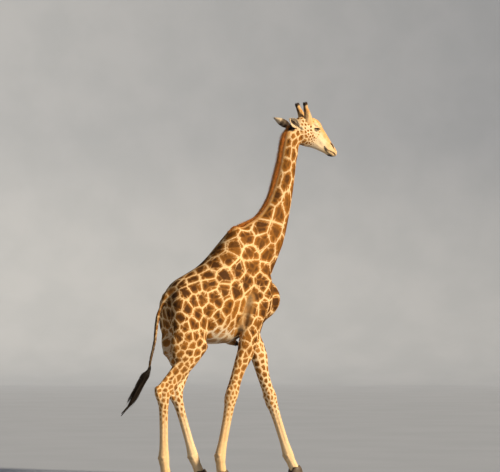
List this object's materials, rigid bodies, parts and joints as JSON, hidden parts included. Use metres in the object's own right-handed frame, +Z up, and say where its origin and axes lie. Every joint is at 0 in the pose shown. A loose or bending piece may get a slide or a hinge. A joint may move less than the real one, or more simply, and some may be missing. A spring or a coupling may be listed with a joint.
{
  "type": "giraffe model",
  "caption": "Life-size still model of a young bull giraffe in mid-stride, neck raised, tail hanging, standing on its own hooves",
  "frame": {"origin": "on the floor, under the centre of the bounding box", "axes": "+X from tail to head, +Y to the animal's left, +Z up"},
  "size_m": [3.0713, 0.6735, 4.487],
  "materials": {
    "hide": "short flat coat, brown patches with cream lines",
    "mane_hair": "short upright russet hair",
    "dark_hair": "long and short near-black hair",
    "hoof_horn": "dull dark horn",
    "eye": "wet gloss"
  },
  "bodies": {
    "root": {"head": "hide", "neck": "hide", "trunk": "hide", "tail": "hide", "foreleg_right_upper": "hide", "foreleg_right_lower": "hide", "foreleg_right_hoof": "hoof_horn", "hindleg_right_upper": "hide", "hindleg_right_lower": "hide", "hindleg_right_hoof": "hoof_horn", "ear_right": "hide", "ossicone_right": "dark_hair", "eye_right": "eye", "foreleg_left_upper": "hide", "foreleg_left_lower": "hide", "foreleg_left_hoof": "hoof_horn", "hindleg_left_upper": "hide", "hindleg_left_lower": "hide", "hindleg_left_hoof": "hoof_horn", "ear_left": "hide", "ossicone_left": "dark_hair", "eye_left": "eye", "mane": "mane_hair", "tail_tuft": "dark_hair"}
  },
  "joints": []
}
